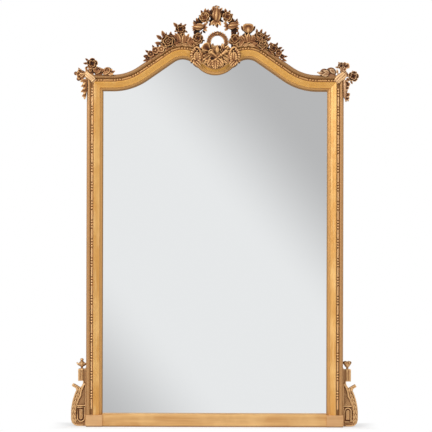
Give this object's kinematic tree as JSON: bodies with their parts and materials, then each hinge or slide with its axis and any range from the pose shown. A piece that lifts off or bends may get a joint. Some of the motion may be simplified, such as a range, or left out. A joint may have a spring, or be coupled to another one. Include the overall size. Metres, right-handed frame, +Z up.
{
  "type": "overmantel mirror",
  "caption": "Tall overmantel mirror with a serpentine gilt frame, bead-and-reel moulding, carved floral crest, corner sprays and side brackets at the foot.",
  "frame": {"origin": "centre of the bottom edge, where the wall plane meets the shelf", "axes": "+X to the viewer's right, +Y into the wall, +Z up; the glass and carving face -Y"},
  "size_m": [1.219, 0.0872, 1.7873],
  "materials": {
    "gilding": "worn water gilding over gesso, satin, browned in the hollows",
    "bead_gilding": "rubbed gilding, bright on the crowns and dark between the beads",
    "carved_gilding": "old gilding on carving, rubbed bright on the high points with dark umber hollows",
    "rail_gilding": "plain gilt rail, satin, with rubbed edges",
    "plinth_wood": "thin gilding worn towards the red-brown ground",
    "mirror": "flat silvered glass",
    "pine": "old planed pine, unfinished",
    "backboard_wood": "thin sawn softwood boards, unfinished",
    "plate_steel": "dulled steel plate",
    "screw_steel": "dark steel"
  },
  "bodies": {
    "root": {"left_stile_moulding": "gilding", "right_stile_moulding": "gilding", "bottom_rail": "rail_gilding", "left_plinth": "plinth_wood", "right_plinth": "plinth_wood", "left_corner_rail": "gilding", "right_corner_rail": "gilding", "left_shoulder_rail": "gilding", "right_shoulder_rail": "gilding", "left_slope_rail": "gilding", "right_slope_rail": "gilding", "left_hump_rail": "gilding", "right_hump_rail": "gilding", "left_inner_rail": "gilding", "right_inner_rail": "gilding", "dip_rail": "gilding", "left_stile_beads": "bead_gilding", "right_stile_beads": "bead_gilding", "left_top_beads": "bead_gilding", "right_top_beads": "bead_gilding", "mirror_plate": "mirror", "glazing_blocks": "pine", "back_left_stile": "pine", "back_right_stile": "pine", "back_bottom_rail": "pine", "back_top_rail": "pine", "backboard_left": "backboard_wood", "backboard_centre": "backboard_wood", "backboard_right": "backboard_wood", "backboard_screws": "screw_steel", "left_hanging_plate": "plate_steel", "right_hanging_plate": "plate_steel", "hanging_plate_screws": "screw_steel", "left_bracket": "carved_gilding", "right_bracket": "carved_gilding", "left_bracket_bud": "carved_gilding", "right_bracket_bud": "carved_gilding", "left_corner_ribbon": "carved_gilding", "right_corner_ribbon": "carved_gilding", "left_corner_spray": "carved_gilding", "right_corner_spray": "carved_gilding", "cartouche_ground": "carved_gilding", "cartouche_shell": "carved_gilding", "left_cartouche_scroll": "carved_gilding", "right_cartouche_scroll": "carved_gilding", "crest_trophy": "carved_gilding", "crest_ring": "carved_gilding", "crest_arch": "carved_gilding", "crest_top_rose": "carved_gilding", "left_crest_flowers": "carved_gilding", "right_crest_flowers": "carved_gilding", "left_garland": "carved_gilding", "right_garland": "carved_gilding"}
  },
  "joints": []
}
